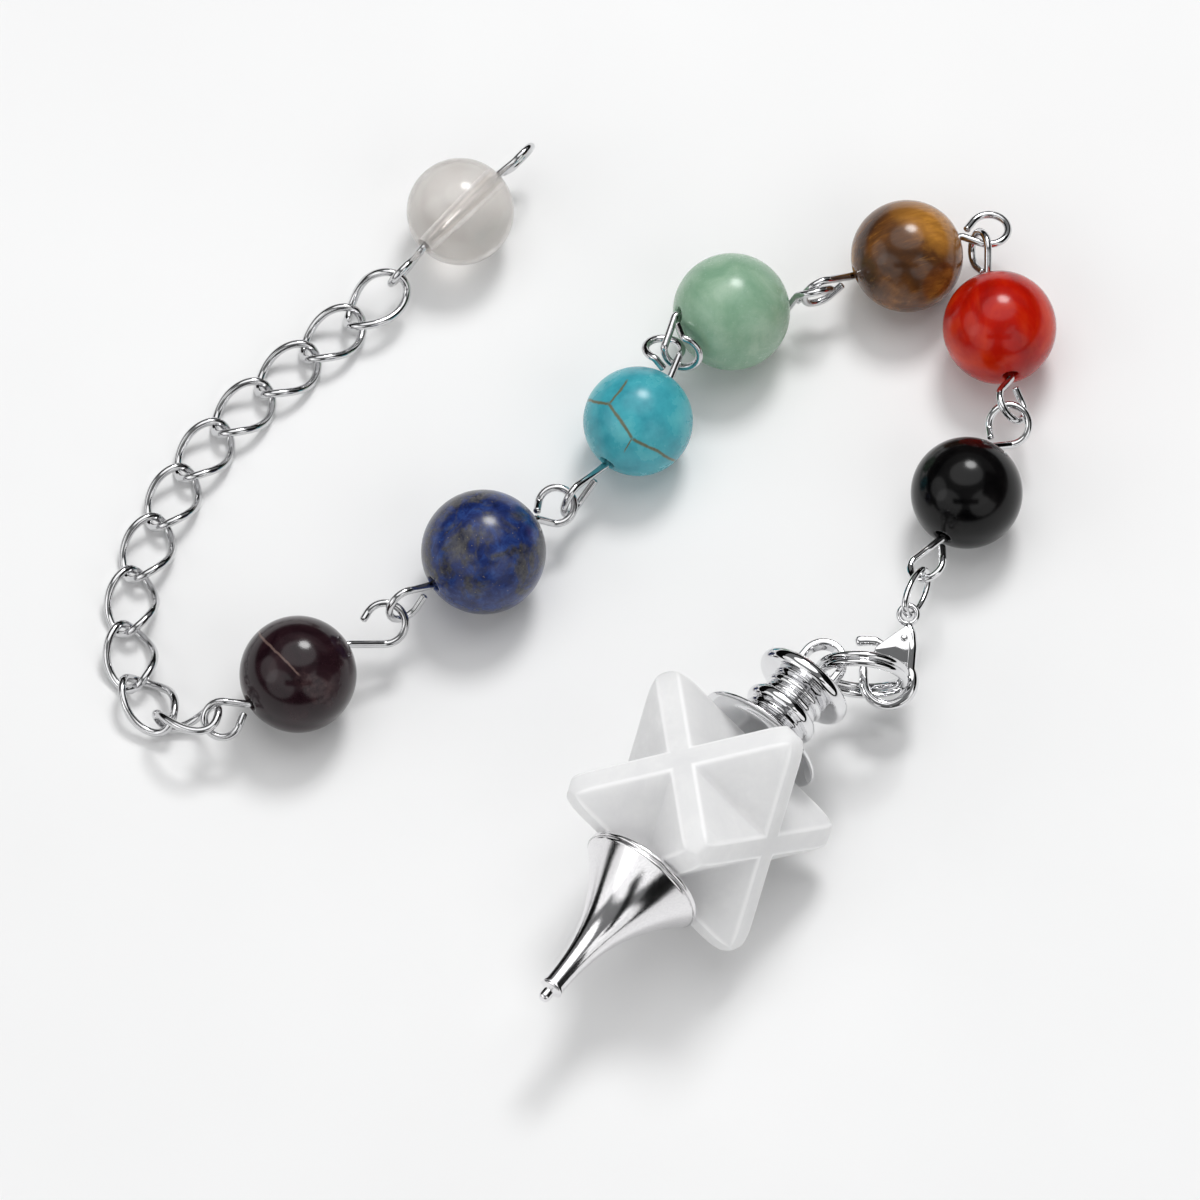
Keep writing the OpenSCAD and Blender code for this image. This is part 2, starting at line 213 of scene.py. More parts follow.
def built(name, grids, material, body="main"):
    """Joins grids into one mesh that stands for the node of the same name: quads between
    neighbouring rows, and a fan over each open end. A grid whose signed volume is negative is
    turned, so all faces point outwards."""
    verts, loops, sizes, base = [], [], [], 0
    for points, closed in grids:
        rows, cols = points.shape[:2]
        i = np.arange(rows if closed else rows - 1)[:, None]
        j = np.arange(cols)[None]
        near, far = i * cols, ((i + 1) % rows) * cols
        after = (j + 1) % cols
        quads = np.stack([near + j, near + after, far + after, far + j], -1).reshape(-1, 4)
        v = points.reshape(-1, 3)
        fans = np.zeros((0, 3), int)
        if not closed:
            k, last = np.arange(cols), (rows - 1) * cols
            v = np.vstack([v, points[0].mean(0), points[-1].mean(0)])
            top = np.full(cols, rows * cols)
            fans = np.vstack([
                np.stack([(k + 1) % cols, k, top], 1),
                np.stack([last + k, last + (k + 1) % cols, top + 1], 1),
            ])
        tris = np.vstack([quads[:, :3], quads[:, [0, 2, 3]], fans])
        volume = (v[tris[:, 0]] * np.cross(v[tris[:, 1]], v[tris[:, 2]])).sum()
        if volume < 0:
            quads, fans = quads[:, ::-1], fans[:, ::-1]
        verts.append(v)
        loops += [quads.reshape(-1) + base, fans.reshape(-1) + base]
        sizes += [np.full(len(quads), 4), np.full(len(fans), 3)]
        base += len(v)
    v = (np.vstack(verts) + SHIFT) * MM
    loops, sizes = np.concatenate(loops), np.concatenate(sizes)
    mesh = bpy.data.meshes.new(name)
    mesh.vertices.add(len(v))
    mesh.vertices.foreach_set("co", v.astype(np.float32).reshape(-1))
    mesh.loops.add(len(loops))
    mesh.loops.foreach_set("vertex_index", loops.astype(np.int32))
    mesh.polygons.add(len(sizes))
    mesh.polygons.foreach_set("loop_start", (np.cumsum(sizes) - sizes).astype(np.int32))
    mesh.polygons.foreach_set("use_smooth", np.ones(len(sizes), bool))
    mesh.update(calc_edges=True)
    mesh.validate()
    mesh.materials.append(material)
    piece = bpy.data.objects.new(name, mesh)
    bpy.context.scene.collection.objects.link(piece)
    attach(piece, body)
    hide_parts(name)


# Finishes

class Finish:
    """A material on one Principled shader; mm is the place in millimetres about centre, after
    turn."""

    def __init__(self, name, centre=(0, 0, 0), turn=(0, 0, 0), **constants):
        self.material = bpy.data.materials.new(name)
        self.material.use_nodes = True
        self.tree = self.material.node_tree
        self.shader = self.tree.nodes["Principled BSDF"]
        place = self.tree.nodes.new("ShaderNodeTexCoord")
        mapping = self.tree.nodes.new("ShaderNodeMapping")
        mapping.vector_type = "TEXTURE"
        mapping.inputs["Location"].default_value = [MM * (a + b) for a, b in zip(centre, SHIFT)]
        mapping.inputs["Rotation"].default_value = turn
        mapping.inputs["Scale"].default_value = (MM, MM, MM)
        self.tree.links.new(place.outputs["Object"], mapping.inputs["Vector"])
        self.mm = mapping.outputs["Vector"]
        for key, value in constants.items():
            self.shader.inputs[key.replace("_", " ")].default_value = value

    def add(self, kind, output, operation=None, **values):
        """A node of this kind with its values or links; gives the named output. An input goes by
        its name, with _ for a space, or by i and its number."""
        node = self.tree.nodes.new("ShaderNode" + kind)
        if operation:
            node.operation = operation
        for key, value in values.items():
            numbered = key[0] == "i" and key[1:].isdigit()
            entry = node.inputs[int(key[1:]) if numbered else key.replace("_", " ")]
            if isinstance(value, bpy.types.NodeSocket):
                self.tree.links.new(value, entry)
            else:
                entry.default_value = value
        return node.outputs[output]

    def calc(self, operation, *values):
        """Arithmetic on up to three numbers or sockets."""
        return self.add("Math", "Value", operation, **{f"i{k}": v for k, v in enumerate(values)})

    def noise(self, scale, detail=3.0, rough=0.5, warp=0.0, place=None):
        """Clouds from 0 to 1: scale of them in a millimetre, detail further layers, each twice as
        fine and rough times as strong, and the whole bent by warp."""
        return self.add("TexNoise", "Fac", Vector=place or self.mm, Scale=scale, Detail=detail,
                        Roughness=rough, Distortion=warp)

    def stretched(self, x, y, z):
        """The place in millimetres with its axes multiplied by x, y and z."""
        return self.add("VectorMath", "Vector", "MULTIPLY", i0=self.mm, i1=(x, y, z))

    def ramp(self, fac, *stops):
        """Colour ramp through (place, colour) stops; one number stands for a grey."""
        node = self.tree.nodes.new("ShaderNodeValToRGB")
        marks = node.color_ramp.elements
        for k, (at, tone) in enumerate(stops):
            mark = marks[k] if k < 2 else marks.new(at)
            mark.position = at
            mark.color = (tone, tone, tone, 1) if np.isscalar(tone) else (*tone, 1)
        self.tree.links.new(fac, node.inputs["Fac"])
        return node.outputs["Color"]

    def mix(self, fac, a, b):
        """Colour a where fac is 0 and b where it is 1."""
        node = self.tree.nodes.new("ShaderNodeMix")
        node.data_type = "RGBA"
        for k, v in ((0, fac), (6, a), (7, b)):
            if isinstance(v, bpy.types.NodeSocket):
                self.tree.links.new(v, node.inputs[k])
            else:
                node.inputs[k].default_value = v if np.isscalar(v) else (*v, 1)
        return node.outputs[2]

    def span(self, value, low, high, start=0.0, end=1.0):
        """Value from start to end set to low to high, and held beyond both."""
        return self.add("MapRange", "Result", Value=value, From_Min=start, From_Max=end,
                        To_Min=low, To_Max=high)

    def colour(self, socket):
        """The surface's colour."""
        self.tree.links.new(socket, self.shader.inputs["Base Color"])

    def rough(self, socket):
        """The surface's roughness."""
        self.tree.links.new(socket, self.shader.inputs["Roughness"])

    def bump(self, height, strength, depth=0.02):
        """Height in the range 0 to 1 stands depth millimetres proud."""
        normal = self.add("Bump", "Normal", Height=height, Strength=strength, Distance=depth * MM)
        self.tree.links.new(normal, self.shader.inputs["Normal"])


def metal(name, tint, low, high, grain, dull=0.06, turn=(0, 0, 0), centre=(0, 0, 0)):
    """Plated metal: a tint that clouds over by dull, roughness from low to high, and fine handling
    marks, grain of them in a millimetre, in the bump."""
    f = Finish(name, centre, turn, Metallic=1.0)
    cloud = f.noise(0.7, 4, 0.6)
    fine = f.noise(grain, 6, 0.65)
    f.colour(f.mix(f.ramp(cloud, (0.35, 0.0), (0.7, 1.0)), tint, [c * (1 - dull) for c in tint]))
    f.rough(f.span(f.mix(0.5, cloud, fine), low, high))
    f.bump(fine, 0.12, 0.003)
    return f.material


def cone_metal():
    """Satin plate with its grain along the cone and a fine sparkle from the blasted surface."""
    f = Finish("satin_point", STAR_AT, AXIS_TURN, Metallic=1.0)
    grain = f.noise(3.0, 5, 0.7, place=f.stretched(3.0, 3.0, 0.25))
    sand = f.noise(9.0, 3, 0.6)
    streaks = f.ramp(grain, (0.35, 0.0), (0.75, 1.0))
    f.colour(f.mix(streaks, (0.9, 0.89, 0.9), (0.76, 0.75, 0.765)))
    f.rough(f.span(f.mix(0.5, grain, sand), 0.05, 0.2))
    f.bump(f.mix(0.5, grain, sand), 0.5, 0.012)
    return f.material


def frosted_quartz():
    """Milky stone: cloudy white, faint grey veils and a matt, finely pitted surface. A painted
    highlight lightens the edges of the flat ridges, standing in for the light their crisp creases
    catch: with the three distances from the middle planes put in order as high, mid and low, it
    lies where high is on the cube and (mid - low) / sqrt(2) is 0.8 mm."""
    f = Finish("frosted_quartz", STAR_AT, (-STAR_ROLL, 0, HEADING), Subsurface_Weight=0.8,
               Subsurface_Scale=0.004, Subsurface_Radius=(1.0, 1.0, 1.0), IOR=1.45,
               Specular_IOR_Level=0.45)
    veil = f.noise(0.22, 5, 0.6, 0.8)
    mottle = f.noise(1.6, 5, 0.6)
    base = f.ramp(veil, (0.3, (0.75, 0.75, 0.755)), (0.52, 0.79), (0.72, 0.84))
    stained = f.mix(f.ramp(mottle, (0.35, 0.0), (0.7, 0.35)), base, (0.73, 0.73, 0.74))
    # Painted highlight: a thin lighter line along the edges of each flat ridge, for the light their
    # creases catch.
    away = f.add("VectorMath", "Vector", "ABSOLUTE", i0=f.mm)
    x, y, z = (f.add("SeparateXYZ", axis, Vector=away) for axis in "XYZ")
    high = f.calc("MAXIMUM", x, f.calc("MAXIMUM", y, z))
    low = f.calc("MINIMUM", x, f.calc("MINIMUM", y, z))
    total = f.calc("ADD", x, f.calc("ADD", y, z))
    mid = f.calc("SUBTRACT", total, f.calc("ADD", high, low))
    past = f.calc("SUBTRACT", f.calc("MULTIPLY", f.calc("SUBTRACT", mid, low), 0.707), 0.8)
    off = f.calc("MAXIMUM", past, f.calc("MULTIPLY", past, -1.0))
    ridge_highlight_line = f.span(off, 0.85, 0.0, 0.03, 0.2)
    painted_ridge_highlight = f.calc("MULTIPLY", ridge_highlight_line, f.span(high, 0.0, 1.0, 6.0, 6.25))
    # The painted highlight is mixed into the stone's colour as a near-white.
    f.colour(f.mix(painted_ridge_highlight, stained, (0.97, 0.97, 0.97)))
    f.rough(f.span(mottle, 0.38, 0.6))
    f.bump(f.noise(7.0, 4, 0.6), 0.3, 0.02)
    return f.material


def stone(name, **constants):
    """A bead's finish, centred on its middle and turned with its drilled hole along X."""
    x, y, d, turn, rise = BEADS[name]
    return Finish(name + "_stone", (x, y, d / 2), (0, -math.radians(rise), math.radians(turn)),
                  **constants)


def vein(f, name, start, end, width, wander=0.35, soft=0.15):
    """1 on a thin wavy sheet that shows as a line from start to end; both are shares of the bead's
    radius to the right and upwards as the bead is seen from the camera's side. The sheet is where
    n . p + wander * noise = n . start, with n at right angles to the line, and it fades over soft
    past its ends."""
    x, y, d, turn, rise = BEADS[name]
    # The picture's own right and up.
    right, up = np.array([1.0, 0, 0]), np.array([0, 0.883, 0.469])
    a, b = (d / 2 * (p[0] * right + p[1] * up) for p in (start, end))
    along = unit(b - a)
    across = np.cross(along, np.cross(right, up))

    def share(v):
        """Length of the place along v, which is turned into the bead's own axes first."""
        v = in_plan(v, -math.radians(turn))
        c, s = math.cos(math.radians(rise)), math.sin(math.radians(rise))
        local = tuple(float(k) for k in (c * v[0] + s * v[2], v[1], c * v[2] - s * v[0]))
        return f.add("VectorMath", "Value", "DOT_PRODUCT", i0=f.mm, i1=local)

    drift = f.calc("MULTIPLY_ADD", f.noise(0.5, 4, 0.6), wander * 2, -wander - float(across @ a))
    off = f.calc("ABSOLUTE", f.calc("ADD", share(across), drift))
    line = f.span(off, 1.0, 0.0, width * 0.4, width)
    middle, half = float(along @ (a + b)) / 2, float(along @ (b - a)) / 2
    past = f.calc("ABSOLUTE", f.calc("ADD", share(along), -middle))
    ends = f.span(past, 1.0, 0.0, half - soft, half + soft)
    return f.calc("MULTIPLY", line, ends)


def black_stone():
    """Polished black with hardly a cloud in it."""
    f = stone("black", Specular_IOR_Level=0.24)
    f.colour(f.ramp(f.noise(0.5, 4), (0.35, (0.001, 0.001, 0.0012)),
                    (0.7, (0.005, 0.0045, 0.0045))))
    f.rough(f.span(f.noise(3.0), 0.13, 0.2))
    f.bump(f.noise(5.0, 3), 0.1, 0.004)
    return f.material


def red_stone():
    """Deep red that lets some light in, with paler bands across the hole."""
    f = stone("red", Subsurface_Weight=0.15, Subsurface_Scale=0.001,
              Subsurface_Radius=(1.0, 0.2, 0.1), Specular_IOR_Level=0.3)
    cloud = f.noise(0.24, 4, 0.5, 0.6)
    base = f.ramp(cloud, (0.3, (0.27, 0.002, 0.0008)), (0.5, (0.44, 0.007, 0.0012)),
                  (0.7, (0.62, 0.036, 0.003)))
    bands = f.noise(0.5, 4, 0.6, 0.4, f.stretched(0.5, 1.6, 1.0))
    f.colour(f.mix(f.ramp(bands, (0.52, 0.0), (0.75, 0.25)), base, (0.66, 0.06, 0.01)))
    f.rough(f.span(f.noise(3.0), 0.14, 0.22))
    f.bump(f.noise(6.0, 3), 0.1, 0.004)
    return f.material


def tiger_stone():
    """Brown stone with fine silky fibres along the hole, dark and lit ones, and a gold patch."""
    f = stone("tiger", Specular_IOR_Level=0.42)
    body = f.noise(0.2, 3, 0.5, 0.4)
    fibre = f.noise(1.3, 7, 0.72, 0.25, f.stretched(0.28, 2.6, 1.1))
    base = f.ramp(body, (0.36, (0.045, 0.018, 0.007)), (0.47, (0.12, 0.045, 0.012)),
                  (0.56, (0.22, 0.085, 0.018)), (0.66, (0.42, 0.2, 0.035)),
                  (0.8, (0.1, 0.075, 0.015)))
    streaked = f.mix(f.ramp(fibre, (0.42, 0.0), (0.72, 0.8)), base, (0.055, 0.022, 0.009))
    lit = f.mix(f.ramp(fibre, (0.28, 0.55), (0.42, 0.0)), streaked, (0.36, 0.16, 0.035))
    gold = f.calc("MULTIPLY", f.ramp(fibre, (0.3, 0.3), (0.6, 0.95)),
                  vein(f, "tiger", (0.05, 0.95), (0.95, 0.3), 1.9, 1.4, 1.6))
    f.colour(f.mix(gold, lit, (0.5, 0.22, 0.035)))
    f.rough(f.span(fibre, 0.13, 0.24))
    f.bump(fibre, 0.12, 0.006)
    return f.material


def green_stone():
    """Soft cloudy green with small darker flecks."""
    f = stone("green", Subsurface_Weight=0.25, Subsurface_Scale=0.0014,
              Subsurface_Radius=(0.9, 1.0, 0.9))
    cloud = f.noise(0.35, 5, 0.6, 0.5)
    base = f.ramp(cloud, (0.32, (0.2, 0.36, 0.24)), (0.5, (0.27, 0.43, 0.3)),
                  (0.72, (0.39, 0.54, 0.41)))
    flecks = f.noise(3.2, 4, 0.7)
    f.colour(f.mix(f.ramp(flecks, (0.5, 0.0), (0.75, 0.4)), base, (0.19, 0.33, 0.23)))
    f.rough(f.span(flecks, 0.2, 0.32))
    f.bump(flecks, 0.12, 0.006)
    return f.material


def turquoise_stone():
    """Cloudy blue with five brown cracks that meet, sunk into the surface."""
    f = stone("turquoise", Specular_IOR_Level=0.42)
    cloud = f.noise(0.4, 5, 0.6)
    base = f.ramp(cloud, (0.3, (0.03, 0.27, 0.34)), (0.5, (0.055, 0.38, 0.45)),
                  (0.72, (0.12, 0.5, 0.54)))
    crack = vein(f, "turquoise", (-0.92, 0.36), (-0.52, 0.31), 0.13)
    for start, end, width in (
        ((-0.55, 0.33), (-0.1, -0.32), 0.15), ((-0.1, -0.32), (0.68, -0.72), 0.15),
        ((-0.52, 0.31), (-0.2, 0.74), 0.1), ((-0.1, -0.32), (-0.25, -0.55), 0.07),
    ):
        crack = f.calc("MAXIMUM", crack, vein(f, "turquoise", start, end, width, 0.2))
    f.colour(f.mix(crack, base, (0.13, 0.14, 0.085)))
    f.rough(f.span(cloud, 0.2, 0.34))
    f.bump(crack, 0.3, -0.02)
    return f.material


def lapis_stone():
    """Deep blue with large grey-brown patches and a few small gold specks."""
    f = stone("lapis", Specular_IOR_Level=0.42)
    big = f.noise(0.42, 5, 0.62, 0.7)
    base = f.ramp(f.noise(1.1, 6, 0.7, 0.4), (0.3, (0.006, 0.01, 0.045)),
                  (0.5, (0.012, 0.026, 0.125)), (0.72, (0.03, 0.075, 0.26)))
    grey = f.ramp(f.noise(2.4, 5, 0.7), (0.35, (0.016, 0.015, 0.018)), (0.7, (0.1, 0.095, 0.08)))
    mixed = f.mix(f.ramp(big, (0.47, 0.0), (0.58, 0.85)), base, grey)
    specks = f.add("TexVoronoi", "Distance", Vector=f.mm, Scale=2.2)
    f.colour(f.mix(f.ramp(specks, (0.05, 0.6), (0.1, 0.0)), mixed, (0.36, 0.3, 0.14)))
    f.rough(f.span(big, 0.16, 0.28))
    f.bump(f.noise(3.0, 4), 0.12, 0.008)
    return f.material


def amethyst_stone():
    """Nearly black purple with a hazy veil and one pale straight line."""
    f = stone("amethyst", Specular_IOR_Level=0.35)
    cloud = f.noise(0.35, 5, 0.6, 0.8)
    base = f.ramp(cloud, (0.3, (0.009, 0.003, 0.005)), (0.55, (0.02, 0.008, 0.011)),
                  (0.75, (0.04, 0.02, 0.022)))
    veil = f.calc("MULTIPLY", vein(f, "amethyst", (0.0, -0.02), (0.5, -0.4), 0.9, 1.2),
                  f.ramp(f.noise(1.5, 5, 0.7), (0.4, 0.0), (0.75, 0.5)))
    hazy = f.mix(veil, base, (0.12, 0.07, 0.07))
    line = vein(f, "amethyst", (-0.7, 0.72), (0.02, -0.02), 0.11, 0.3)
    f.colour(f.mix(line, hazy, (0.13, 0.085, 0.075)))
    f.rough(f.span(cloud, 0.13, 0.2))
    f.bump(f.noise(5.0, 3), 0.1, 0.004)
    return f.material


def clear_stone():
    """See-through stone with a warm haze; its drilled hole shows through it."""
    f = stone("clear", Transmission_Weight=0.75, IOR=1.42)
    cloud = f.noise(0.4, 5, 0.6, 0.6)
    f.colour(f.ramp(cloud, (0.3, (0.91, 0.86, 0.82)), (0.55, (0.96, 0.93, 0.9)),
                    (0.75, (1.0, 0.98, 0.96))))
    f.rough(f.span(cloud, 0.1, 0.24))
    f.bump(f.noise(4.0, 4), 0.12, 0.01)
    return f.material


BEAD_FINISHES = {
    "black": black_stone, "red": red_stone, "tiger": tiger_stone, "green": green_stone,
    "turquoise": turquoise_stone, "lapis": lapis_stone, "amethyst": amethyst_stone,
    "clear": clear_stone,
}


# The pendulum

def star_grid():
    """Distance from the middle in each direction, where rows are polar angles about the pendulum's
    axis and columns go round it: the larger of two rounded tetrahedra, cut flat along the ridges
    by the cube that both stand in, rounded at the tips by a ball, and eased in the valleys."""
    corner, ball, cube, reach = 5.75, 1.0, 6.35, 10.15
    valley_ease, ridge_ease, tip_ease = 0.4, 0.16, 1.3
    a = np.linspace(0.004, np.pi - 0.004, 221)[:, None]
    b = 2 * np.pi * np.arange(400)[None] / 400
    rays = np.broadcast_arrays(np.cos(a), np.sin(a) * np.cos(b), np.sin(a) * np.sin(b))
    d = np.stack(rays, -1)

    def tetra(sign):
        """Largest exit of a ray from the middle out of the faces, edge rounds and corner balls."""
        v = corner * np.array([(1, 1, 1), (1, -1, -1), (-1, 1, -1), (-1, -1, 1)], float)
        v[:, 2] *= sign
        best = np.zeros(d.shape[:2])
        for k in range(4):
            n = -unit(v[k])
            face = np.delete(v, k, 0)
            dn = d @ n
            t = np.where(dn > 1e-6, (face[0] @ n + ball) / np.maximum(dn, 1e-6), 0)
            q = t[..., None] * d
            inside = dn > 1e-6
            for m in range(3):
                edge = unit(face[(m + 1) % 3] - face[m])
                third = face[(m + 2) % 3] - face[m]
                inward = unit(third - edge * (third @ edge))
                inside &= ((q - face[m]) @ inward) >= 0
            best = np.maximum(best, np.where(inside, t, 0))
            dv = d @ v[k]
            g = dv ** 2 - v[k] @ v[k] + ball ** 2
            best = np.maximum(best, np.where(g > 0, dv + np.sqrt(np.maximum(g, 0)), 0))
            for m in range(k + 1, 4):
                along = unit(v[m] - v[k])
                across = d - (d @ along)[..., None] * along
                foot = v[k] - (v[k] @ along) * along
                dd, df = (across ** 2).sum(-1), across @ foot
                g = df ** 2 - dd * (foot @ foot - ball ** 2)
                t = (df + np.sqrt(np.maximum(g, 0))) / np.maximum(dd, 1e-9)
                s = t * (d @ along) - v[k] @ along
                ok = (g > 0) & (s > 0) & (s < np.linalg.norm(v[m] - v[k]))
                best = np.maximum(best, np.where(ok, t, 0))
        return best

    # Larger of the two distances, then the smaller of that and each cut, blended over an ease.
    one, other = tetra(1), tetra(-1)
    h = np.clip(0.5 + 0.5 * (one - other) / valley_ease, 0, 1)
    r = other + (one - other) * h + valley_ease * h * (1 - h)
    for cut, ease in ((cube / abs(d).max(-1), ridge_ease), (reach, tip_ease)):
        h = np.clip(0.5 + 0.5 * (cut - r) / ease, 0, 1)
        r = cut + (r - cut) * h - ease * h * (1 - h)
    p = d * r[..., None]
    c, s = math.cos(STAR_ROLL), math.sin(STAR_ROLL)
    y, z = p[..., 1], p[..., 2]
    rolled = np.stack([p[..., 0], c * y + s * z, c * z - s * y], -1)
    return STAR_AT + in_plan(rolled, HEADING), False


def cone_grid():
    """Trumpet profile r = 0.8 + 3.84 (1 - s)^2.5 with a rolled lip, a collar and the thin tip."""
    s = np.linspace(0, 1, 60)
    curve = np.stack([0.8 + 3.84 * (1 - s) ** 2.5, 6.98 + 10.42 * s], 1)
    a = np.linspace(-np.pi / 2, np.pi / 2, 9)
    lip = np.stack([4.42 + 0.22 * np.cos(a), 6.66 + 0.23 * np.sin(a)], 1)
    collar = softened([(0.8, 17.4), (0.86, 17.46), (0.86, 17.6), (0.62, 17.7), (0.44, 17.8)])
    tip = softened([(0.44, 17.85), (0.44, 18.3), (0.42, 18.42), (0.3, 18.6), (0.12, 18.64),
                    (0.01, 18.64)])
    back = [(0.01, 6.42), (2.0, 6.42), (4.0, 6.42)]
    g, closed = spun(np.vstack([back, lip, [(4.46, 6.92)], curve, collar, tip]), 128)
    return on_axis(g * np.array([1, -1, -1])), closed


def bulge(r, low, high, out):
    """Half ellipse on a turned profile: radius r + out sin t, height from low to high."""
    t = np.linspace(0, np.pi, 17)
    return np.stack([r + out * np.sin(t), (low + high) / 2 - (high - low) / 2 * np.cos(t)], 1)


def cap_grids():
    """Turned profile of a dish, three round bands and a thick round flange, and a flat strip that
    goes up one leg, round a half circle and down the other leg for the arch."""
    dish = softened([
        (0.01, 7.5), (1.5, 7.46), (2.2, 7.4), (2.9, 7.3), (3.5, 7.16), (4.1, 7.05), (4.6, 6.98),
        (4.74, 7.03), (4.75, 7.18), (4.6, 7.28), (4.3, 7.42), (3.7, 7.7), (3.1, 8.05),
        (2.72, 8.36), (2.46, 8.7), (2.36, 9.08),
    ], 3)
    flange = softened([
        (1.98, 11.58), (2.3, 11.66), (2.9, 11.72), (3.4, 11.86), (3.63, 12.2), (3.63, 12.6),
        (3.4, 12.92), (2.9, 13.06), (2.0, 13.08), (0.01, 13.08),
    ], 3)
    line = np.vstack([dish, bulge(2.3, 9.1, 10.22, 0.5), bulge(1.96, 10.26, 10.86, 0.26),
                      bulge(1.96, 10.9, 11.56, 0.36), flange])
    turned, closed = spun(line, 128)
    foot, top, half = 12.9, 14.72, 1.44
    a = np.linspace(-np.pi / 2, np.pi / 2, 40)
    arc = np.stack([top + half * np.cos(a), half * np.sin(a), 0 * a], 1)
    path = even(np.vstack([[(foot, -half, 0)], arc, [(foot, half, 0)]]), 0.1)
    strip = carried(STAR_AT + in_plan(path, HEADING), (0, 0, 1), ring(0.6, 0.26, 32, 4.5))
    return [(on_axis(turned), closed), strip]


# Wires

def wire(path, side, d):
    """Round section of diameter d carried along the path. Over the last 0.12 mm at both ends its
    radius is drawn in along a quarter circle, from the whole to 0.55 of it."""
    p = np.asarray(path)
    s = np.concatenate([[0], np.cumsum(np.linalg.norm(np.diff(p, axis=0), axis=1))])
    edge = np.clip(np.minimum(s, s[-1] - s) / 0.12, 0, 1)
    k = 0.55 + 0.45 * np.sqrt(1 - (1 - edge) ** 2)
    return carried(p, side, ring(d / 2, d / 2, 16), np.stack([k, k], 1))


def eye_pin(name):
    """Stem through the bead and a loop at both ends: straight from the hole to where the line
    touches a circle, round it, and part of the way back to the stem. Corners are then averaged
    over 0.35 mm."""
    x, y, d, turn, rise = BEADS[name]
    mid = np.array([x, y, d / 2])
    to_a = polar(90 - rise, turn) * (d / 2 + 0.15)

    def loop(end, row):
        """The loop's line from where it leaves the stem, and the direction it lies square to."""
        q, radius, n = np.array(row[:3]), row[3], polar(row[4], row[5])
        g = (end - q) - ((end - q) @ n) * n
        u = unit(g)
        v = np.cross(n, u)
        start = math.acos(radius / np.linalg.norm(g))
        a = np.linspace(start, 2 * math.pi - start, 60)[:, None]
        arc = q + radius * (u * np.cos(a) + v * np.sin(a))
        return np.vstack([arc, arc[-1] + row[6] * (end - arc[-1])]), n

    ends = mid + to_a, mid - to_a
    (pa, na), (pb, nb) = loop(ends[0], LOOP_A[name]), loop(ends[1], LOOP_B[name])
    # The two directions face the same way as seen along the stem, so the section doesn't turn over.
    axis = unit(to_a)
    fa, fb = na - (na @ axis) * axis, nb - (nb @ axis) * axis
    if fa @ fb < 0:
        nb = -nb
    path = np.vstack([pa[::-1], ends[0], mid, ends[1], pb])
    side = np.vstack([np.tile(na, (len(pa) + 1, 1)), (na + nb) / 2, np.tile(nb, (len(pb) + 1, 1))])
    both = even(np.hstack([path, side]), 0.07, 0.35)
    return wire(both[:, :3], both[:, 3:], PIN_WIRE)


def link(at, along, across, a, b, d, twist):
    """Closed link of wire d: a cos t along, b |sin t|^0.85 across, rolled by twist cos t about the
    length, then each point averaged with two on either side in the shares 1 2 3 2 1."""
    t = 2 * np.pi * np.arange(72) / 72
    roll = math.radians(twist) * np.cos(t)[:, None]
    w = (b * np.sign(np.sin(t)) * abs(np.sin(t)) ** 0.85)[:, None]
    up = np.cross(along, across)
    p = at + (a * np.cos(t))[:, None] * along + w * (np.cos(roll) * across + np.sin(roll) * up)
    k = np.array([1, 2, 3, 2, 1]) / 9
    wrapped = np.vstack([p[-2:], p, p[:2]])
    p = np.stack([np.convolve(c, k, "valid") for c in wrapped.T], 1)
    return carried(p, p - at, ring(d / 2, d / 2, 16), closed=True)


def across_from(along, roll):
    """Direction at right angles to along: level, then rolled about along."""
    level = unit(np.cross([0, 0, 1], along))
    return math.cos(roll) * level + math.sin(roll) * np.cross(along, level)


def curb_link(i):
    """Twisted link from one curb joint to the next: 2.57 long and 1.7 wide from its middle, of
    0.58 wire, with a twist of 48 degrees."""
    a, b = CURB_JOINTS[i, :3], CURB_JOINTS[i + 1, :3]
    along = unit(b - a)
    across = across_from(along, math.radians(CURB_JOINTS[i, 3]))
    return link((a + b) / 2, along, across, a=2.57, b=1.7, d=0.58, twist=48)


def oval_link():
    """Flat oval between the clasp's eye and the black bead's first loop: 1.9 long and 1.05 wide
    from its middle, of 0.5 wire, rolled by 64.2 degrees."""
    along = unit(np.array([0.388, 0.911, -0.136]))
    across = across_from(along, math.radians(64.2))
    return link(np.array([22.39, -2.386, 5.597]), along, across, a=1.9, b=1.05, d=0.5, twist=0)


def jump_grids():
    """Two round wires side by side: circles about the ring's axis, each moved along it."""
    middle, radius, aside, thick = np.array([18.47, -9.15, 5.99]), 3.03, 0.284, 0.58
    lean, turn = 84, 86
    c, s = math.cos(math.radians(lean)), math.sin(math.radians(lean))
    t = np.linspace(0, 2 * np.pi, 160, endpoint=False)
    grids = []
    for side in (-1, 1):
        x, y, z = radius * np.cos(t), radius * np.sin(t), 0 * t + side * aside
        q = np.stack([c * x + s * z, y, -s * x + c * z], 1)
        q = in_plan(q, math.radians(turn)) + middle
        grids.append(carried(q, polar(lean, turn), ring(thick / 2, thick / 2, 20), closed=True))
    return grids


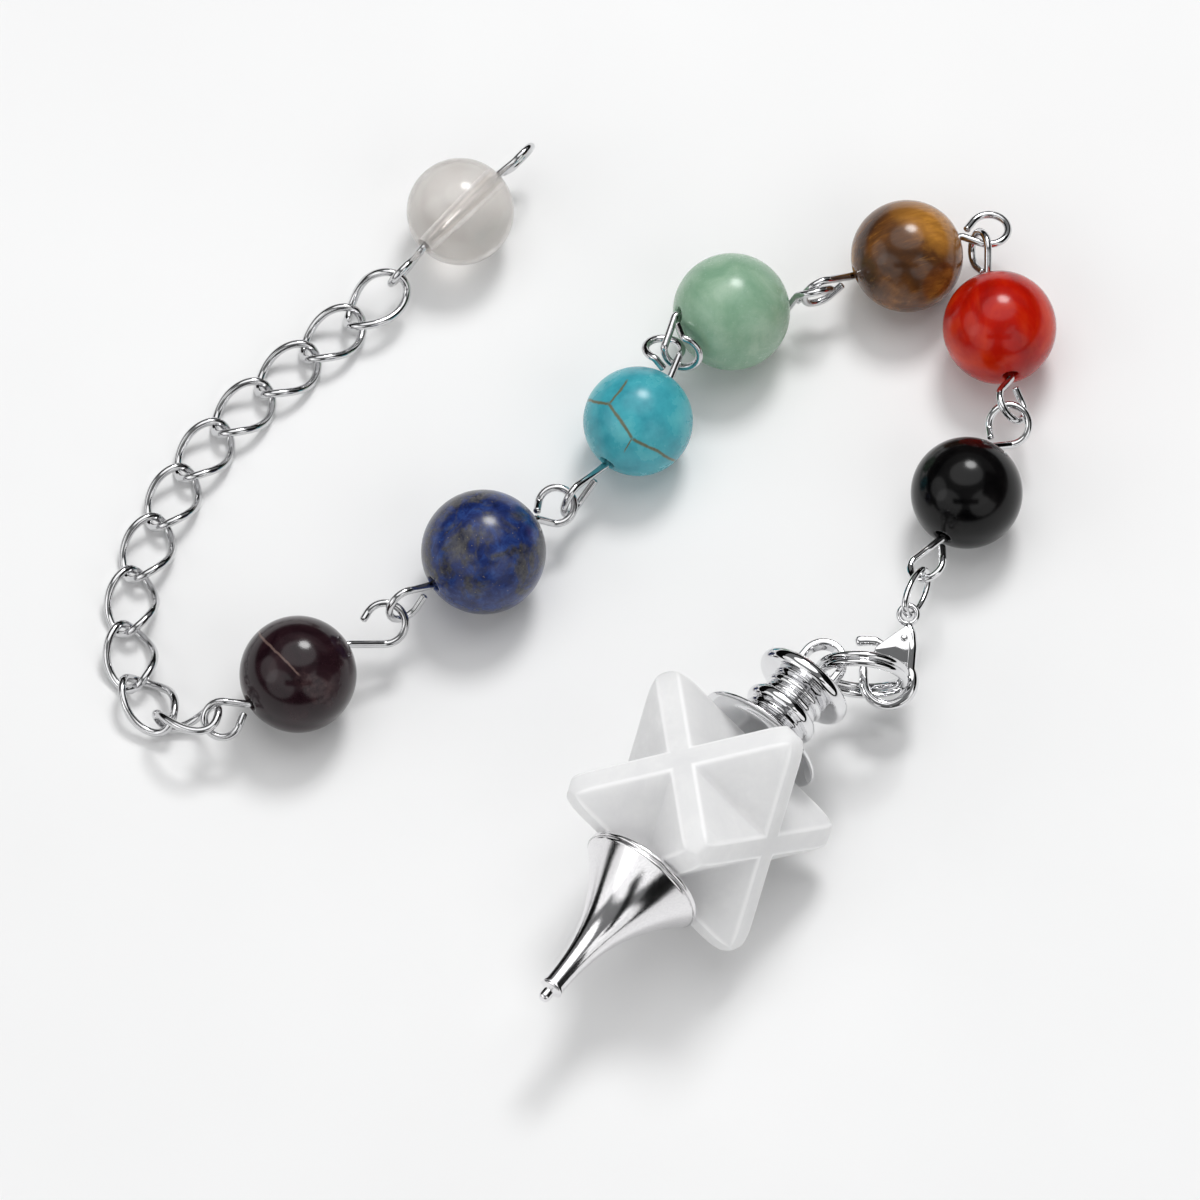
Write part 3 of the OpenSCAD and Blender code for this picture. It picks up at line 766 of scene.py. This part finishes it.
def bead_grid(name):
    """Ball with its hole along X: a profile round the hole's axis over the ball, into the chamfer
    and back through the bore."""
    x, y, d, turn, rise = BEADS[name]
    r, hole, chamfer = d / 2, 0.55, 0.12
    mouth = math.asin((hole + chamfer) / r)
    a = np.linspace(mouth, math.pi - mouth, 97)
    h = math.sqrt(r * r - hole * hole) - chamfer
    z = np.linspace(-h, h, 25)[:, None]
    over, bore = np.stack([r * np.sin(a), r * np.cos(a)], 1), np.hstack([0 * z + hole, z])
    g, _ = spun(np.vstack([over, bore]), 128, True)
    x_own, z_own = g[..., 2], -g[..., 0]
    c, s = math.cos(math.radians(rise)), math.sin(math.radians(rise))
    g = np.stack([c * x_own - s * z_own, g[..., 1], s * x_own + c * z_own], -1)
    return in_plan(g, math.radians(turn)) + np.array([x, y, r]), True


# The clasp, in its own axes: X from the eye to the hook, Y away from the lever

def clasp_bar(rows, step, blur, section, at=0.0):
    """Section carried along a line in the clasp's plane. Columns of rows: x, y, half of the width
    in the plane, half of the thickness across it."""
    q = even(np.insert(np.asarray(rows, float), 2, 0.0, axis=1), step, blur)
    return in_clasp(carried(q[:, :3], (0, 0, 1), section, q[:, [4, 3]])[0] + at), False


def body_grids():
    """Tapered spine carried from the eye round the hook, two cheeks, the pin and the eye."""
    a = np.radians(np.linspace(115, -80, 40))
    s = np.maximum(0, np.sin(a))
    hook = np.stack([4.75 + 1.72 * np.cos(a), -1.45 + 1.72 * np.sin(a),
                     0.35 + 0.12 * s, 0.38 + 0.3 * s], 1)
    neck = [(0.55, 0, 0.2, 0.2), (0.95, 0.06, 0.34, 0.4), (1.5, 0.2, 0.42, 0.58),
            (2.4, 0.26, 0.44, 0.68)]
    nose = [(4.5, -3.17, 0.34, 0.37), (4.0, -3.19, 0.33, 0.35), (3.62, -3.17, 0.27, 0.3),
            (3.45, -3.155, 0.18, 0.2), (3.4, -3.15, 0.08, 0.09)]
    spine = clasp_bar(np.vstack([neck, hook, nose]), 0.07, 0.3, ring(1, 1, 24, 2.6))
    cheek = softened([
        (0.85, -0.1), (1.0, -0.42), (2.35, -2.3), (2.6, -2.42), (2.8, -2.25), (3.5, -0.5),
        (3.6, 0.1), (3.0, 0.45), (1.2, 0.28),
    ], 3, True)
    near, far, edge = 0.4, 0.62, 0.07
    pin, _ = spun([(0.02, -0.68), (0.2, -0.68), (0.25, -0.64), (0.25, 0.64), (0.2, 0.68),
                   (0.02, 0.68)], 32)
    t = 2 * np.pi * np.arange(48) / 48
    circle = 0.65 * np.stack([np.cos(t), np.sin(t), 0 * t], 1)
    eye, _ = carried(circle, (0, 0, 1), ring(0.21, 0.21, 16), closed=True)
    return [
        spine,
        (in_clasp(plate(cheek, -far, -near, edge)), False),
        (in_clasp(plate(cheek, near, far, edge)), False),
        (in_clasp(pin + LEVER_PIN), False),
        (in_clasp(eye), True),
    ]


def lever_grids():
    """Bar from the pin to the nose, a thumb tab that widens to its rounded end, and the disc round
    the pin."""
    bar = [(0, 0, 0.48, 0.33), (0.25, -0.7, 0.42, 0.33), (0.75, -1.6, 0.34, 0.33),
           (1.2, -2.1, 0.27, 0.33), (1.42, -2.36, 0.12, 0.2)]
    tab = [(0.5, -1.3, 0.25, 0.3), (0.16, -2.0, 0.32, 0.33), (0.12, -2.6, 0.34, 0.34),
           (0.14, -3.2, 0.37, 0.34), (0.15, -3.38, 0.3, 0.28), (0.15, -3.46, 0.12, 0.12)]
    disc, _ = spun([(0.02, -0.34), (0.44, -0.34), (0.49, -0.3), (0.5, -0.26), (0.5, 0.26),
                    (0.49, 0.3), (0.44, 0.34), (0.02, 0.34)], 40)
    flat = ring(1, 1, 20, 3.2)
    return [clasp_bar(rows, 0.06, 0.2, flat, LEVER_PIN) for rows in (bar, tab)] + [
        (in_clasp(disc + LEVER_PIN), False)]


# Building

drawn_wire = metal("drawn_wire", (0.68, 0.68, 0.69), 0.08, 0.18, 9.0, dull=0.12)
polished_plate = metal("polished_plate", (0.8, 0.8, 0.81), 0.02, 0.06, 5.0)
turned_plate = metal("turned_plate", (0.82, 0.82, 0.83), 0.02, 0.06, 2.0, turn=AXIS_TURN,
                     centre=STAR_AT)

built("star", [star_grid()], frosted_quartz())
built("cone_point", [cone_grid()], cone_metal())
built("top_cap", cap_grids(), turned_plate)
built("jump_ring", jump_grids(), polished_plate)
built("clasp_body", body_grids(), polished_plate)
built("clasp_lever", lever_grids(), polished_plate, body="lever")
built("oval_link", [oval_link()], polished_plate)
for bead in BEADS:
    built("bead_" + bead, [bead_grid(bead)], BEAD_FINISHES[bead]())
    built("pin_" + bead, [eye_pin(bead)], polished_plate if bead == "black" else drawn_wire)
for number in range(1, len(CURB_JOINTS)):
    built(f"curb_{number:02d}", [curb_link(number - 1)], drawn_wire)


# The studio

def stage_card(name, points, material, glossy_only=False, faces=None):
    """Flat card, or a band of faces, that belongs to the studio; glossy_only hides it from all but
    reflections."""
    mesh = bpy.data.meshes.new(name)
    mesh.from_pydata(points, [], faces or [tuple(range(len(points)))])
    mesh.materials.append(material)
    card = bpy.data.objects.new(name, mesh)
    bpy.context.scene.collection.objects.link(card)
    if glossy_only:
        card.visible_camera = card.visible_diffuse = False
        card.visible_shadow = card.visible_transmission = False


def toward(elevation, turn):
    """Direction at this elevation, turned from the back (+Y) towards the right (+X)."""
    e, a = math.radians(elevation), math.radians(turn)
    return np.array([math.cos(e) * math.sin(a), math.cos(e) * math.cos(a), math.sin(e)])


def panel(name, elevation, turn, away, width, height, radiance):
    """Soft box that faces the middle, an ellipse; its power is radiance times pi times its area."""
    light = bpy.data.lights.new(name, "AREA")
    light.shape, light.size, light.size_y = "ELLIPSE", width, height
    light.energy = radiance * math.pi * width * height * math.pi / 4
    lamp = bpy.data.objects.new(name, light)
    bpy.context.scene.collection.objects.link(lamp)
    d = Vector(toward(elevation, turn))
    lamp.location = d * away
    lamp.rotation_euler = d.to_track_quat("Z", "Y").to_euler()
    lamp.visible_camera = False


def flag(name, elevation, turn, away, width, height):
    """Dark card that only reflections see."""
    d = toward(elevation, turn)
    u = unit(np.cross([0, 0, 1], d))
    v = np.cross(d, u)
    corners = [d * away + a * width / 2 * u + b * height / 2 * v
               for a, b in ((-1, -1), (1, -1), (1, 1), (-1, 1))]
    stage_card(name, [tuple(p) for p in corners], black_card, True)


floor = Finish("pale_floor", Roughness=0.6, Specular_IOR_Level=0.2)
floor.colour(floor.ramp(floor.noise(0.03, 3), (0.3, 0.86), (0.7, 0.885)))
stage_card("floor", [(-6, -6, 0), (6, -6, 0), (6, 6, 0), (-6, 6, 0)], floor.material)
black_card = Finish("black_card", Roughness=1.0, Specular_IOR_Level=0.0,
                    Base_Color=(0.004, 0.004, 0.004, 1)).material

# Columns: elevation, turn, distance, width, height, and for a soft box its radiance. In metres.
for name, row in {
    "key": (56, 17, 0.6, 0.2, 0.17, 18.0),
    "back": (76, 2, 0.8, 1.0, 0.8, 1.3),
    "left": (30, 262, 0.7, 0.6, 0.45, 0.9),
    "front_left": (30, 223, 0.55, 0.6, 0.52, 0.92),
    "front_right": (30, 137, 0.55, 0.6, 0.52, 0.92),
}.items():
    panel(name, *row)
for name, row in {
    "flag_right": (30, 93, 0.5, 0.46, 0.42),
    "flag_left": (24, -42, 0.5, 0.5, 0.12),
    "flag_front": (44, 180, 0.5, 0.5, 0.1),
}.items():
    flag(name, *row)

# A dark band round the studio, from just above the floor up.
BAND_RADIUS, BAND_LOW, BAND_HIGH, BAND_SIDES = 0.9, 0.03, 0.46, 48
turns = np.linspace(0, 2 * np.pi, BAND_SIDES, endpoint=False)
band = [(BAND_RADIUS * math.sin(t), BAND_RADIUS * math.cos(t), z)
        for z in (BAND_LOW, BAND_HIGH) for t in turns]
band_faces = [(k, (k + 1) % BAND_SIDES, BAND_SIDES + (k + 1) % BAND_SIDES, BAND_SIDES + k)
              for k in range(BAND_SIDES)]
stage_card("dark_band", band, black_card, True, band_faces)

world = bpy.data.worlds.new("studio")
bpy.context.scene.world = world
world.use_nodes = True
background = world.node_tree.nodes["Background"]
background.inputs["Color"].default_value = (0.98, 0.99, 1.0, 1)
background.inputs["Strength"].default_value = 0.18

# A long lens, at the distance where its frame takes in the picture's width at the middle.
LENS, SENSOR = 1000.0, 36.0
camera_data = bpy.data.cameras.new("camera")
camera_data.lens, camera_data.sensor_width = LENS, SENSOR
camera_data.clip_start, camera_data.clip_end = 0.1, 20.0
camera = bpy.data.objects.new("camera", camera_data)
bpy.context.scene.collection.objects.link(camera)
away = FRAME_PX * MM / PX_PER_MM * LENS / SENSOR
rise = math.radians(VIEW_RISE)
camera.location = SHIFT * MM + away * np.array([0, -math.cos(rise), math.sin(rise)])
camera.rotation_euler = (math.radians(90 - VIEW_RISE), 0, 0)
bpy.context.scene.camera = camera
bpy.context.scene.view_settings.view_transform = "Standard"
